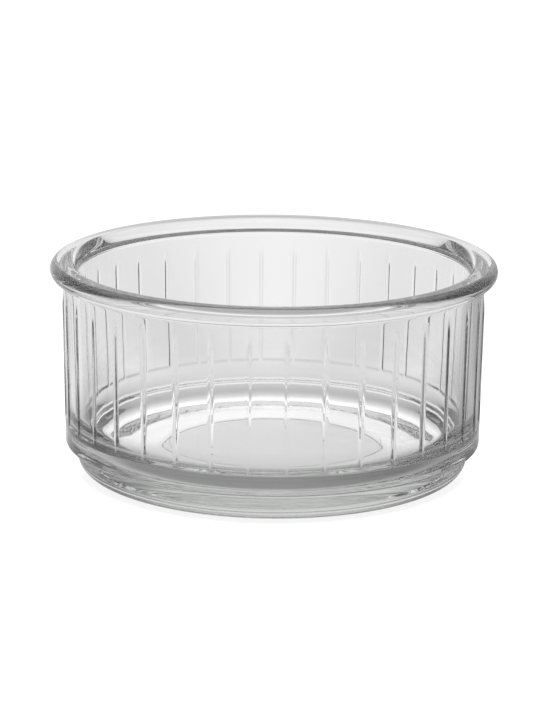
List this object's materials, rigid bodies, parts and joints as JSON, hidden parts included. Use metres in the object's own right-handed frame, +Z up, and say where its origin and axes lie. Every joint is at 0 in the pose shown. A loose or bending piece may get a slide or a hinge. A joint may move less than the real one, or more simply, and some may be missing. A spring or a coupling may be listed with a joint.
{
  "type": "ramekin",
  "caption": "Round clear-glass ramekin with a rolled rim, an upright wall ribbed on the outside and a stepped foot, open at the top for baking or serving.",
  "frame": {"origin": "centre of the foot, on the surface that the dish stands on", "axes": "+Z up along the dish's axis, -Y towards the front of the pictured view"},
  "size_m": [0.1, 0.1, 0.048],
  "materials": {
    "clear_glass": "clear fire-polished pressed glass"
  },
  "bodies": {
    "root": {"glass_dish": "clear_glass"}
  },
  "joints": []
}
